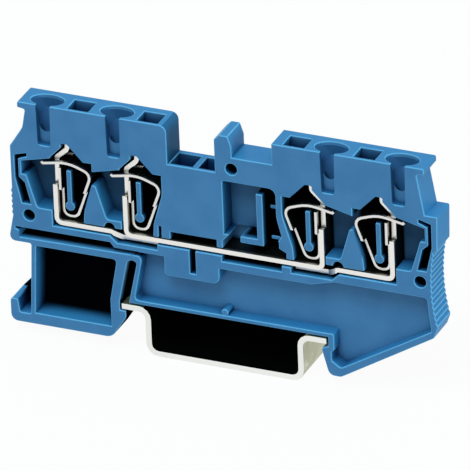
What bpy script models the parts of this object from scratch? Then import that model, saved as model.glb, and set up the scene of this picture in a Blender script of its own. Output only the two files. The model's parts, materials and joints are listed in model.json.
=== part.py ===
# DIN rail terminal block: four spring clamps in an open-sided housing, on a short top-hat rail.
# Block sizes are taken from its own datum: x from the middle of the clamps, depth back from the
# open face, height from the top of the rail's lips. The world's origin is under the rail's middle.

import math

import bmesh
import bpy
from mathutils import Vector

# Rail: a top-hat strip, open upwards
RAIL_WIDTH = 0.035
RAIL_HEIGHT = 0.0085
RAIL_LENGTH = 0.020
HAT_WIDTH = 0.027
RAIL_SHEET = 0.001
RAIL_BEND = 0.0011

# Fits
FIT_GAP = 0.0003
BAR_CONTACT_GAP = 0.00015
CHANNEL_GAP = 0.0003

# Block outline
BLOCK_DEPTH = 0.0052
BACK_WALL = 0.0008
BLOCK_MIDDLE = 0.0005
BLOCK_TOP = 0.033
TOP_HALF = 0.0345
LIP_THICK = 0.0010
NECK_HALF = 0.0332
NECK_LOW = 0.0285
SHOULDER_HALF = 0.0361
RIGHT_SHOULDER = 0.0365
SHOULDER_HEIGHT = 0.0249
RIGHT_NECK_FOOT = 0.0344
CORNER = 0.0006
LEFT_WAIST = 0.0361
LEFT_HEEL = 0.0368
LEFT_UNDER = 0.00795
RIGHT_WAIST = 0.0351
RIGHT_HEEL = 0.0360
RIGHT_UNDER = 0.0034
GRIP_PITCH = 0.00095
GRIP_HEIGHT = 0.0002
LEFT_GRIP_TOP = 0.0174
LEFT_GRIP_RIBS = 5
RIGHT_GRIP_TOP = 0.0184
RIGHT_GRIP_START = 0.0356
RIGHT_GRIP_RIBS = 14

# Middle of the top: bridge shafts, marker rib, ledge
LEFT_GROUP_END = 0.00905
STEP_HEIGHT = 0.0263
RIB_LEFT = 0.00095
RIB_RIGHT = 0.0020
RIB_SHOULDER = 0.0009
LEDGE_HEIGHT = 0.02935
RIGHT_GROUP_START = 0.0088
SHAFT_FRONT_WALL = 0.0006
SHAFT_BACK_WALL = 0.0009
SHAFT_RIB = 0.0010
SHAFT_RIB_X = -0.0045
SHAFT_FLOOR = 0.0165

# Rail seat, hooks and recessed web
SEAT_RIM = 0.0007
HOOK_WALL = 0.0010
HOOK_NOSE = 0.0011
HOOK_BOTTOM = 0.00645
WEB_RECESS = 0.0023
WEB_RIM = 0.0010
WEB_TOP = 0.0103
WEB_MID_TOP = 0.0092
ANCHOR_LEFT = 0.0103
ANCHOR_RIGHT = 0.0009
ANCHOR_LOW = 0.0064
ANCHOR_SLIT_X = -0.0054
ANCHOR_SLIT = 0.0010
ANCHOR_SLIT_LOW = 0.0075
SEAT_BUMP = 0.0006
SEAT_BUMP_SINK = 0.0002
SEAT_BUMP_X = -0.0003

# Latch foot and the slots that let it bend
BEAM_TOP = 0.0090
BEAM_SAG = 0.0002
BEAM_THICK = 0.00105
LONG_SLOT_TOP = 0.0106
LONG_SLOT_STEP_X = 0.0195
THIN_SLOT_TOP = 0.0098
THIN_SLOT_END = 0.0146
HAIRPIN_WALL = 0.00155
ARCH_X = 0.0158
ARCH_SLIT = 0.0016
ARCH_WALL = 0.0010
FOOT_LEFT = 0.0373
FOOT_BOTTOM = 0.00645
FOOT_FLOOR = 0.0017
FOOT_SIDE = 0.0332
FOOT_WALL = 0.0008
FOOT_INNER_WALL = 0.0016
FOOT_TOOTH = 0.0007
FOOT_BACK = 0.0006
EYELET_WALL = 0.0013
EYELET_HEIGHT = 0.0023
GUSSET_TOP = 0.0014

# Current bars
CLAMP_OUT = 0.0286
CLAMP_IN = 0.0167
BAR_THICK = 0.0008
METAL_RECESS = 0.0002
INNER_BAR_HEIGHT = 0.0123
OUTER_BAR_HEIGHT = 0.0125
BAR_BEND = 0.0005
BAR_TAIL = 0.0050
TAIL_SET_BACK = 0.0010
TONGUE_HEIGHT = 0.0192
TONGUE_WIDTH = 0.0018
TIP_BEND_HEIGHT = 0.0236
TIP_REACH = 0.00185
TIP_RISE = 0.0017
TIP_LENGTH = 0.0008

# Clamp springs, in clamp terms: u runs from the riser towards the screwdriver side
STRIP = 0.00045
SPRING_SIDE_RAIL = 0.0006
SPRING_TOP = 0.02345
SPRING_END = 0.0020
SPRING_END_DROP = 0.0008
SPRING_LIP = 0.00025
SPRING_CROWN = 0.0022
SPRING_BACK = 0.0063
SPRING_BACK_DROP = 0.00145
SPRING_LOOP_RIGHT = 0.00315
SPRING_LOOP_LEFT = 0.00085
SPRING_LOOP_LOW = 0.01345
SPRING_LOOP_RADIUS = 0.0012
SPRING_CROWN_RADIUS = 0.006
SPRING_BACK_RADIUS = 0.0013
SPRING_SHORT_TOP = 0.0223
SPRING_NARROW_TOP = 0.0184
SPRING_SET_BACK = 0.0010
WINDOW_IN = 0.0020
SWING_ROOM = 0.0016
SPRING_SPLIT_GAP = 0.0002

# Clamp cavities
POCKET_WALL = 0.00065
POCKET_LOW = 0.0128
POCKET_FOOT = 0.0047
POCKET_SIDE = 0.00645
POCKET_BEND = 0.0152
POCKET_ROOF = 0.0240
PEAK_LEFT = 0.0013
PEAK_RIGHT = 0.0024
PEAK_HEIGHT = 0.0268
FIN_TOP = 0.0202
CHAMBER_DEPTH = 0.0036
CHAMBER_FLOOR = 0.0146
CHAMBER_FOOT = 0.0032
CHAMBER_SHELF = 0.0049
CHAMBER_SIDE = 0.0057
CHAMBER_ROOF = 0.0225
GUIDE_X = 0.0015
GUIDE_RADIUS = 0.00095
GUIDE_DEPTH = 0.00255
POST_X = 0.0023
POST_WIDTH = 0.0008
POST_TOP = 0.0219
POST_BALL = 0.0008
POST_BALL_HEIGHT = 0.0156
POST_FRONT = 0.0004
FUNNEL_HALF_WIDTH = 0.0028
FUNNEL_HALF_DEPTH = 0.00185
FUNNEL_MIDDLE = 0.00215
FUNNEL_THROAT = 0.0310
FUNNEL_NECK = 0.0284
FUNNEL_NECK_RADIUS = 0.0014
FUNNEL_SLOT = 0.00245
FUNNEL_SLOT_END = 0.0022
FUNNEL_SLOT_LOW = 0.0259
FUNNEL_STEP_DEPTH = 0.0011
DRIVER_START = 0.0025
DRIVER_WIDTH = 0.0036
DRIVER_FRONT_WALL = 0.0005
DRIVER_DEPTH = 0.0032

# Small openings of the front face
PIN_HOLE = 0.0020
END_HOLE_X = 0.0333
END_HOLE_HEIGHT = 0.0130
MID_HOLE_X = 0.00185
MID_HOLE_HEIGHT = 0.0273
GROOVE_WIDTH = 0.0006
GROOVE_TOP = 0.0240
GROOVE_KNEE = 0.0193
GROOVE_LOW = 0.0150
GROOVE_X = 0.0354
GROOVE_IN = 0.0333
GROOVE_LEAN = 0.0010
GROOVE_FOOT = 0.0015
NOTCH_X = 0.00275
NOTCH_RADIUS = 0.0009
RELIEF_X = -0.0108
RELIEF_WIDTH = 0.0005
RELIEF_TOP = 0.0150

# Pocket under the marker rib, with its U-shaped rib and two small steps
MID_LEFT = 0.0002
MID_RIGHT = 0.0092
MID_LOW = 0.0156
MID_TOP = 0.0250
MID_DEPTH = 0.0034
MID_WAIST = 0.0200
MID_SWELL = 0.0008
MID_RIB_LEFT = 0.0029
MID_RIB_RIGHT = 0.0069
MID_RIB = 0.0011
MID_RIB_LOW = 0.0145
MID_RIB_TOP = 0.0236
MID_RIB_FRONT = 0.0001
MID_STEP_LEFT = 0.0076
MID_STEP_FRONT = 0.0016
MID_STEP_THICK = 0.0006
MID_STEP_HIGH = 0.0213
MID_STEP_LOW = 0.0153
PILLAR_LEFT = 0.00115
PILLAR_RIGHT = 0.0001
TOOTH = 0.0010
TOOTH_ROOT = 0.0143
HOLLOW_RIGHT = 0.0107
HOLLOW_SHOULDER = 0.0140

ARC_STEPS = 4
FILLET_SHARE = 0.49
ROUND_SIDES = 20

FRONT = -RAIL_LENGTH / 2
POCKET_DEPTH = BLOCK_DEPTH - BACK_WALL
METAL_WIDTH = POCKET_DEPTH - METAL_RECESS - FIT_GAP
TAIL_HEIGHT = INNER_BAR_HEIGHT - BAR_THICK - BAR_CONTACT_GAP
HINGE_HEIGHT = BEAM_TOP - BEAM_THICK / 2
LIP_OUT = RAIL_WIDTH / 2 + FIT_GAP
PAST = 0.001


def clear_scene():
    for obj in list(bpy.data.objects):
        bpy.data.objects.remove(obj, do_unlink=True)


def plain_material(name, colour, roughness, metallic):
    material = bpy.data.materials.new(name)
    material.use_nodes = True
    shader = material.node_tree.nodes["Principled BSDF"]
    shader.inputs["Base Color"].default_value = (*colour, 1)
    shader.inputs["Roughness"].default_value = roughness
    shader.inputs["Metallic"].default_value = metallic
    return material


def arc_between(centre, start, end, steps):
    """Points on the short arc from start to end about centre."""
    radius = (start - centre).length
    first = (start - centre).normalized()
    last = (end - centre).normalized()
    return [centre + radius * first.slerp(last, i / steps) for i in range(steps + 1)]


def filleted(corners, closed=True):
    """A path of (x, height) corners, each rounded where it has a third value, its radius."""
    path = []
    count = len(corners)
    for i, corner in enumerate(corners):
        here = Vector(corner[:2])
        at_end = not closed and i in (0, count - 1)
        if len(corner) == 2 or at_end:
            path.append(here)
            continue
        to_last = Vector(corners[i - 1][:2]) - here
        to_next = Vector(corners[(i + 1) % count][:2]) - here
        half = to_last.angle(to_next) / 2
        room = []
        for neighbour, side in ((corners[i - 1], to_last), (corners[(i + 1) % count], to_next)):
            shared = len(neighbour) == 3
            room.append(side.length * FILLET_SHARE * (1 if shared else 2))
        radius = min(corner[2], min(room) * math.tan(half))
        reach = radius / math.tan(half)
        centre = here + (to_last.normalized() + to_next.normalized()).normalized() * radius / math.sin(half)
        start = here + to_last.normalized() * reach
        end = here + to_next.normalized() * reach
        path += arc_between(centre, start, end, ARC_STEPS)
    return path


def strip_outline(path, thick):
    """The outline of a strip of this thickness along a path."""
    sides = ([], [])
    for i, here in enumerate(path):
        ahead = path[min(i + 1, len(path) - 1)] - here
        behind = here - path[max(i - 1, 0)]
        along = (ahead.normalized() + behind.normalized()).normalized()
        lean = max(along.dot((ahead if ahead.length else behind).normalized()), 0.5)
        across = Vector((-along.y, along.x)) * thick / 2 / lean
        sides[0].append(here + across)
        sides[1].append(here - across)
    return sides[0] + sides[1][::-1]


def turned(outline, sign):
    """The outline as it is for sign 1, or mirrored in x for sign -1."""
    return [Vector((sign * point[0], point[1])) for point in outline]


def rectangle(x0, x1, low, high):
    return [(x0, low), (x1, low), (x1, high), (x0, high)]


def disc(x, height, radius):
    turn = 2 * math.pi / ROUND_SIDES
    turns = [i * turn for i in range(ROUND_SIDES)]
    return [(x + radius * math.cos(a), height + radius * math.sin(a)) for a in turns]


def slab(outline, front, back):
    """A bmesh of an (x, height) outline that runs in depth from front to back."""
    bm = bmesh.new()
    face = bm.faces.new([bm.verts.new((x, front, z)) for x, z in outline])
    far = bmesh.ops.extrude_face_region(bm, geom=[face])["geom"]
    moved = [item for item in far if isinstance(item, bmesh.types.BMVert)]
    bmesh.ops.translate(bm, vec=(0, back - front, 0), verts=moved)
    bmesh.ops.recalc_face_normals(bm, faces=bm.faces)
    return bm


def plan_slab(outline, low, high):
    """A bmesh of an (x, depth) outline that runs in height from low to high."""
    bm = slab(outline, low, high)
    for vert in bm.verts:
        vert.co.yz = vert.co.zy
    bm.normal_update()
    bmesh.ops.recalc_face_normals(bm, faces=bm.faces)
    return bm


def put(name, bm, material, pivot=(0, 0, 0)):
    """An object of this bmesh, given in the block's datum, with its origin at pivot."""
    bmesh.ops.translate(bm, vec=-Vector(pivot), verts=bm.verts)
    mesh = bpy.data.meshes.new(name)
    bm.to_mesh(mesh)
    bm.free()
    obj = bpy.data.objects.new(name, mesh)
    bpy.context.scene.collection.objects.link(obj)
    obj.location = Vector((BLOCK_MIDDLE, FRONT, RAIL_HEIGHT)) + Vector(pivot)
    if material:
        mesh.materials.append(material)
    return obj


def change(target, bm, operation):
    """Cuts a bmesh out of the target, or joins it on, with a Boolean."""
    number = len(target.modifiers) + 1
    tool = put(f"{target.name}_tool_{number}", bm, None)
    tool.hide_render = True
    tool.display_type = "WIRE"
    modifier = target.modifiers.new(tool.name, "BOOLEAN")
    modifier.operation = operation
    modifier.object = tool
    modifier.solver = "EXACT"


def pocket(target, outline, depth):
    """A recess from the open face."""
    change(target, slab(outline, -PAST, depth), "DIFFERENCE")


def shaft(target, x0, x1, near, far, low, high):
    """A square shaft, closed at the front and the back."""
    change(target, slab(rectangle(x0, x1, low, high), near, far), "DIFFERENCE")


def grip(x_top, top, x_low, low, count, outward, bow=0):
    """Ribs along an end face that bows inwards, from top to low, standing out by the grip's height."""
    points = []
    for i in range(2 * count + 1):
        share = i / (2 * count)
        proud = (GRIP_HEIGHT if i % 2 else 0) - 4 * bow * share * (1 - share)
        x = x_top + (x_low - x_top) * share
        points.append((x + outward * proud, top + (low - top) * share))
    return points


def end_profile(side):
    """The overhanging lip, neck and shoulder, from the top down."""
    lip = [
        (side * TOP_HALF, BLOCK_TOP, CORNER / 2),
        (side * TOP_HALF, BLOCK_TOP - LIP_THICK, CORNER / 4),
        (side * NECK_HALF, BLOCK_TOP - LIP_THICK - CORNER / 3, CORNER / 2),
    ]
    if side > 0:
        neck = [(RIGHT_NECK_FOOT, SHOULDER_HEIGHT)]
        shoulder = RIGHT_SHOULDER
    else:
        neck = [(-NECK_HALF - CORNER, NECK_LOW, 4 * CORNER)]
        shoulder = -SHOULDER_HALF
    return lip + neck + [(shoulder, SHOULDER_HEIGHT, CORNER / 2)]


def housing_outline():
    left_low = LEFT_GRIP_TOP - LEFT_GRIP_RIBS * GRIP_PITCH
    right_low = RIGHT_GRIP_TOP - RIGHT_GRIP_RIBS * GRIP_PITCH
    right_bow = (RIGHT_GRIP_START + RIGHT_HEEL) / 2 - RIGHT_WAIST
    hook_in = LIP_OUT - BLOCK_MIDDLE
    nose_top = -RAIL_SHEET - FIT_GAP
    slit_low = -(LIP_OUT + BLOCK_MIDDLE - ARCH_SLIT)
    arch_in = -ARCH_X + ARCH_SLIT / 2
    hinge_face = -ARCH_X + FIT_GAP / 2
    heel_in = -LEFT_HEEL + HAIRPIN_WALL
    top = [
        (-LEFT_GROUP_END, BLOCK_TOP, 2 * CORNER),
        (-LEFT_GROUP_END, STEP_HEIGHT),
        (-RIB_LEFT, STEP_HEIGHT),
        (-RIB_LEFT, BLOCK_TOP - RIB_SHOULDER),
        (-RIB_LEFT + RIB_SHOULDER, BLOCK_TOP),
        (RIB_RIGHT - CORNER, BLOCK_TOP),
        (RIB_RIGHT, BLOCK_TOP - 3 * CORNER),
        (RIB_RIGHT, LEDGE_HEIGHT),
        (RIGHT_GROUP_START, LEDGE_HEIGHT),
        (RIGHT_GROUP_START, BLOCK_TOP),
    ]
    right = [(RIGHT_SHOULDER - CORNER / 4, RIGHT_GRIP_TOP + CORNER)]
    right += grip(RIGHT_GRIP_START, RIGHT_GRIP_TOP, RIGHT_HEEL, right_low, RIGHT_GRIP_RIBS, 1, right_bow)
    under = [
        (RIGHT_HEEL - CORNER, RIGHT_UNDER, 2 * CORNER),
        (hook_in + 2 * HOOK_WALL, -HOOK_BOTTOM, 2 * CORNER),
        (hook_in, -HOOK_BOTTOM, 2 * CORNER),
        (hook_in - HOOK_NOSE, nose_top - HOOK_WALL, HOOK_WALL),
        (hook_in - HOOK_NOSE, nose_top - HOOK_WALL / 2),
        (hook_in, nose_top),
        (hook_in, FIT_GAP),
        (slit_low, FIT_GAP),
        (arch_in, BEAM_TOP - BEAM_THICK, ARCH_SLIT / 2),
        (hinge_face, BEAM_TOP - BEAM_THICK),
        (hinge_face, BEAM_TOP),
        (-THIN_SLOT_END, BEAM_TOP),
        (-THIN_SLOT_END, THIN_SLOT_TOP),
        (-LONG_SLOT_STEP_X + CORNER, THIN_SLOT_TOP),
        (-LONG_SLOT_STEP_X, LONG_SLOT_TOP),
        (heel_in - CORNER, LONG_SLOT_TOP),
        (heel_in - CORNER, LONG_SLOT_TOP - CORNER / 2),
        (heel_in, LONG_SLOT_TOP - CORNER),
        (heel_in, LEFT_UNDER),
        (-LEFT_HEEL, LEFT_UNDER, 1.5 * CORNER),
    ]
    left = [(-LEFT_HEEL, LEFT_UNDER + 2 * CORNER)]
    left += grip(-LEFT_WAIST, left_low, -LEFT_WAIST, LEFT_GRIP_TOP, LEFT_GRIP_RIBS, -1)
    left += [(-SHOULDER_HALF, LEFT_GRIP_TOP + 2 * CORNER)]
    return filleted(top + end_profile(1) + right + under + left + end_profile(-1)[::-1])


def foot_outline():
    hook = -(LIP_OUT + BLOCK_MIDDLE)
    tooth_top = -RAIL_SHEET - FIT_GAP
    hinge_face = -ARCH_X - FIT_GAP / 2
    beam_end = -LEFT_HEEL + HAIRPIN_WALL + FIT_GAP
    beam_low = BEAM_TOP - BEAM_THICK
    slit_left = -ARCH_X - ARCH_SLIT / 2
    tooth_end = hook + FIT_GAP + FOOT_TOOTH
    inside = -FOOT_BOTTOM + FOOT_FLOOR
    return filleted([
        (beam_end, LEFT_UNDER),
        (beam_end, BEAM_TOP - BEAM_SAG),
        (hinge_face, BEAM_TOP),
        (hinge_face, beam_low),
        (slit_left, beam_low, ARCH_SLIT / 2),
        (hook, FIT_GAP),
        (hook, tooth_top),
        (tooth_end, tooth_top),
        (tooth_end, tooth_top - 2 * CORNER, 2 * CORNER),
        (hook - FOOT_INNER_WALL, -FOOT_BOTTOM, 3 * CORNER),
        (-FOOT_LEFT, -FOOT_BOTTOM, 2 * CORNER),
        (-FOOT_LEFT, inside + EYELET_HEIGHT - CORNER / 2, EYELET_WALL / 2),
        (-FOOT_SIDE - CORNER / 2, GUSSET_TOP),
        (-FOOT_SIDE, LEFT_UNDER, CORNER / 2),
    ])


def eyelet():
    """The recess of the pry eyelet, open at the front and the top, in front of its gusset."""
    inside = -FOOT_BOTTOM + FOOT_FLOOR
    limb_top = inside + EYELET_HEIGHT
    limb = -FOOT_LEFT + EYELET_WALL
    high = GUSSET_TOP + PAST
    return filleted([
        (-FOOT_LEFT - PAST, high),
        (-FOOT_LEFT - PAST, limb_top),
        (limb, limb_top, CORNER / 2),
        (limb + CORNER / 2, inside, CORNER / 2),
        (-FOOT_SIDE - CORNER, inside, CORNER / 2),
        (-FOOT_SIDE - CORNER / 2, GUSSET_TOP),
        (-FOOT_SIDE - CORNER / 2, high),
    ])


def foot_box():
    """The deep pocket inside the foot, open at the front."""
    hook = -(LIP_OUT + BLOCK_MIDDLE)
    beam_low = BEAM_TOP - BEAM_THICK
    slit_left = -ARCH_X - ARCH_SLIT / 2
    inside = -FOOT_BOTTOM + FOOT_FLOOR
    return filleted([
        (-FOOT_SIDE - CORNER + FOOT_WALL, inside + CORNER / 2),
        (-FOOT_SIDE + FOOT_WALL, beam_low - CORNER / 2, CORNER / 2),
        (slit_left - FOOT_INNER_WALL - CORNER / 2, beam_low - CORNER / 2, CORNER),
        (hook - FOOT_INNER_WALL, FIT_GAP),
        (hook - FOOT_INNER_WALL, inside + CORNER / 2),
    ])


def web_outline():
    """The recessed web between the rim walls of the lower body."""
    hook_out = LIP_OUT - BLOCK_MIDDLE + HOOK_WALL
    seat_top = FIT_GAP + SEAT_RIM
    slit_low = -(LIP_OUT + BLOCK_MIDDLE - ARCH_SLIT)
    arch_out = -ARCH_X + ARCH_SLIT / 2 + ARCH_WALL
    web_end = RIGHT_WAIST - WEB_RIM + CORNER / 3
    return filleted([
        (slit_low + ARCH_WALL, seat_top, CORNER),
        (arch_out, BEAM_TOP + CORNER / 6, ARCH_WALL),
        (-THIN_SLOT_END - CORNER, BEAM_TOP + CORNER / 6),
        (-THIN_SLOT_END - CORNER, THIN_SLOT_TOP - CORNER / 6),
        (-ANCHOR_LEFT, THIN_SLOT_TOP - CORNER / 6),
        (-ANCHOR_LEFT, ANCHOR_LOW, CORNER),
        (-ANCHOR_RIGHT, ANCHOR_LOW, 2 * CORNER),
        (-ANCHOR_RIGHT, WEB_MID_TOP, CORNER / 2),
        (CLAMP_IN - 2 * WEB_RIM, WEB_MID_TOP),
        (CLAMP_IN + 2 * WEB_RIM, WEB_TOP),
        (web_end, WEB_TOP, CORNER),
        (web_end + CORNER, RIGHT_UNDER + WEB_RIM, CORNER / 2),
        (hook_out + HOOK_WALL, -HOOK_BOTTOM + WEB_RIM + CORNER, CORNER),
        (hook_out - HOOK_WALL / 2, -HOOK_BOTTOM + 2 * WEB_RIM + CORNER, CORNER),
        (hook_out - HOOK_WALL / 2, -RAIL_SHEET - FIT_GAP - HOOK_WALL, CORNER / 2),
        (hook_out, -RAIL_SHEET - FIT_GAP - HOOK_WALL / 2),
        (hook_out, seat_top, CORNER / 2),
    ])


def spring_pocket(riser, sign):
    """The black pocket round one spring, with its peaked roof."""
    outline = filleted([
        (-POCKET_WALL, POCKET_LOW),
        (POCKET_FOOT, POCKET_LOW),
        (POCKET_FOOT + CORNER / 4, POCKET_BEND, 10 * CORNER),
        (POCKET_SIDE, FIN_TOP + CORNER / 2, 8 * CORNER),
        (POCKET_SIDE, POCKET_ROOF),
        (SPRING_BACK - 2 * CORNER, POCKET_ROOF),
        (PEAK_RIGHT, PEAK_HEIGHT, CORNER / 2),
        (PEAK_LEFT, PEAK_HEIGHT, CORNER / 2),
        (PEAK_LEFT, PEAK_HEIGHT - TIP_LENGTH),
        (-POCKET_WALL, POCKET_ROOF),
    ])
    return [(riser + sign * u, h) for u, h in outline]


def wire_chamber(riser, sign):
    """The conductor's space beside one riser, on the funnel's side."""
    outline = filleted([
        (0, CHAMBER_FLOOR),
        (0, POCKET_ROOF - CORNER / 8),
        (-CHAMBER_SIDE, CHAMBER_ROOF),
        (-CHAMBER_SIDE, FIN_TOP),
        (-CHAMBER_SHELF, FIN_TOP, CORNER / 2),
        (-CHAMBER_FOOT, CHAMBER_FLOOR, CORNER),
    ])
    return [(riser + sign * u, h) for u, h in outline]


def swing_space(riser, sign):
    """The deeper top of a wire chamber, where the end of the clamp leg travels."""
    reach = SPRING_END + SPRING_LIP + SWING_ROOM
    low = SPRING_TOP - SPRING_END_DROP - SWING_ROOM
    fall = (POCKET_ROOF - CHAMBER_ROOF) / CHAMBER_SIDE
    outline = [
        (0, low),
        (0, POCKET_ROOF - CORNER / 8),
        (-reach, POCKET_ROOF - CORNER / 8 - fall * reach),
        (-reach, low),
    ]
    return [(riser + sign * u, h) for u, h in outline]


def funnel(x):
    """A bmesh of an oval mouth that narrows to a round wire guide, which reaches the chamber."""
    neck = FUNNEL_NECK_RADIUS
    rings = (
        (BLOCK_TOP + PAST, FUNNEL_HALF_WIDTH, FUNNEL_HALF_DEPTH, FUNNEL_MIDDLE),
        (BLOCK_TOP - CORNER, FUNNEL_HALF_WIDTH, FUNNEL_HALF_DEPTH, FUNNEL_MIDDLE),
        (FUNNEL_THROAT, neck, neck, FUNNEL_MIDDLE),
        (FUNNEL_NECK, neck, neck, FUNNEL_MIDDLE),
        (FUNNEL_NECK - 2 * CORNER, GUIDE_RADIUS, GUIDE_RADIUS, GUIDE_DEPTH),
        (CHAMBER_ROOF - CORNER, GUIDE_RADIUS, GUIDE_RADIUS, GUIDE_DEPTH),
    )
    bm = bmesh.new()
    for height, half_width, half_depth, middle in rings:
        ring = bmesh.ops.create_circle(bm, segments=ROUND_SIDES, radius=1)["verts"]
        for vert in ring:
            vert.co = (x + vert.co.x * half_width, middle + vert.co.y * half_depth, height)
    bmesh.ops.bridge_loops(bm, edges=list(bm.edges))
    bmesh.ops.holes_fill(bm, edges=list(bm.edges), sides=ROUND_SIDES)
    bmesh.ops.recalc_face_normals(bm, faces=bm.faces)
    return bm


def funnel_slot(x, low):
    """The tapered slot in the front of a funnel, from the top down to low."""
    half_top = FUNNEL_SLOT / 2
    share = (BLOCK_TOP - low) / (BLOCK_TOP - FUNNEL_SLOT_LOW)
    half_low = half_top + share * (FUNNEL_SLOT_END - FUNNEL_SLOT) / 2
    high = BLOCK_TOP + PAST
    return filleted([
        (x - half_top, high),
        (x - half_low, low, CORNER),
        (x + half_low, low, CORNER),
        (x + half_top, high),
    ])


def post(riser, sign):
    """The keyhole post inside one spring: a stem that ends in a round foot."""
    ball = disc(riser + sign * POST_X, POST_BALL_HEIGHT, POST_BALL)
    x = riser + sign * POST_X
    stem = rectangle(x - POST_WIDTH / 2, x + POST_WIDTH / 2, POST_BALL_HEIGHT, POST_TOP)
    return [slab(shape, POST_FRONT, POCKET_DEPTH + BACK_WALL / 2) for shape in (ball, stem)]


def cut_clamp(housing, riser, sign):
    """One clamp's cavities, funnel, screwdriver shaft and spring post."""
    pocket(housing, spring_pocket(riser, sign), POCKET_DEPTH)
    pocket(housing, wire_chamber(riser, sign), CHAMBER_DEPTH)
    pocket(housing, swing_space(riser, sign), POCKET_DEPTH)
    guide = riser - sign * GUIDE_X
    change(housing, funnel(guide), "DIFFERENCE")
    pocket(housing, funnel_slot(guide, FUNNEL_NECK), FUNNEL_MIDDLE)
    pocket(housing, funnel_slot(guide, FUNNEL_SLOT_LOW), FUNNEL_STEP_DEPTH)
    sides = sorted((riser + sign * DRIVER_START, riser + sign * (DRIVER_START + DRIVER_WIDTH)))
    far = DRIVER_FRONT_WALL + DRIVER_DEPTH
    shaft(housing, *sides, DRIVER_FRONT_WALL, far, POCKET_ROOF - CORNER, BLOCK_TOP + PAST)
    for shape in post(riser, sign):
        change(housing, shape, "UNION")


def cut_bar_channel(housing, side):
    """The channel that one outer bar, its tail and half of the inner bar lie in."""
    outer_low = OUTER_BAR_HEIGHT - BAR_THICK / 2 - CHANNEL_GAP
    outer_high = OUTER_BAR_HEIGHT + BAR_THICK / 2 + CHANNEL_GAP
    tail_low = TAIL_HEIGHT - BAR_THICK / 2 - CHANNEL_GAP
    inner_high = INNER_BAR_HEIGHT + BAR_THICK / 2 + CHANNEL_GAP
    start = CLAMP_OUT + POCKET_WALL
    step = CLAMP_IN + BAR_TAIL / 2 + CHANNEL_GAP
    tail_end = CLAMP_IN - BAR_TAIL - CHANNEL_GAP
    middle = side * CORNER / 4
    inner_low = INNER_BAR_HEIGHT - BAR_THICK / 2 - CHANNEL_GAP
    outline = [
        (start, outer_high),
        (start, outer_low),
        (step, outer_low),
        (step - 2 * CORNER, tail_low),
        (tail_end, tail_low),
        (tail_end, inner_low),
        (-middle * side, inner_low),
        (-middle * side, inner_high),
        (CLAMP_IN, inner_high),
        (CLAMP_IN + CORNER, outer_high),
    ]
    pocket(housing, turned(outline, side), POCKET_DEPTH)
    pocket(housing, disc(side * (CLAMP_IN + NOTCH_X), outer_high, NOTCH_RADIUS), POCKET_DEPTH)


def cut_end_grooves(housing, side):
    """The L-shaped groove near one shoulder and the pin hole under it."""
    foot_out = GROOVE_X - GROOVE_LEAN
    outline = [
        (GROOVE_IN, GROOVE_TOP),
        (GROOVE_X, GROOVE_TOP - GROOVE_WIDTH),
        (GROOVE_X, GROOVE_KNEE),
        (foot_out, GROOVE_LOW),
        (foot_out - GROOVE_FOOT, GROOVE_LOW),
        (GROOVE_X - GROOVE_WIDTH - GROOVE_LEAN, GROOVE_KNEE - GROOVE_WIDTH),
        (GROOVE_X - GROOVE_WIDTH, GROOVE_KNEE + GROOVE_WIDTH / 2),
        (GROOVE_X - GROOVE_WIDTH, GROOVE_TOP - 2 * GROOVE_WIDTH),
        (GROOVE_IN, GROOVE_TOP - GROOVE_WIDTH),
    ]
    pocket(housing, turned(outline, side), POCKET_DEPTH)
    pocket(housing, disc(side * END_HOLE_X, END_HOLE_HEIGHT, PIN_HOLE / 2), POCKET_DEPTH)


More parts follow.
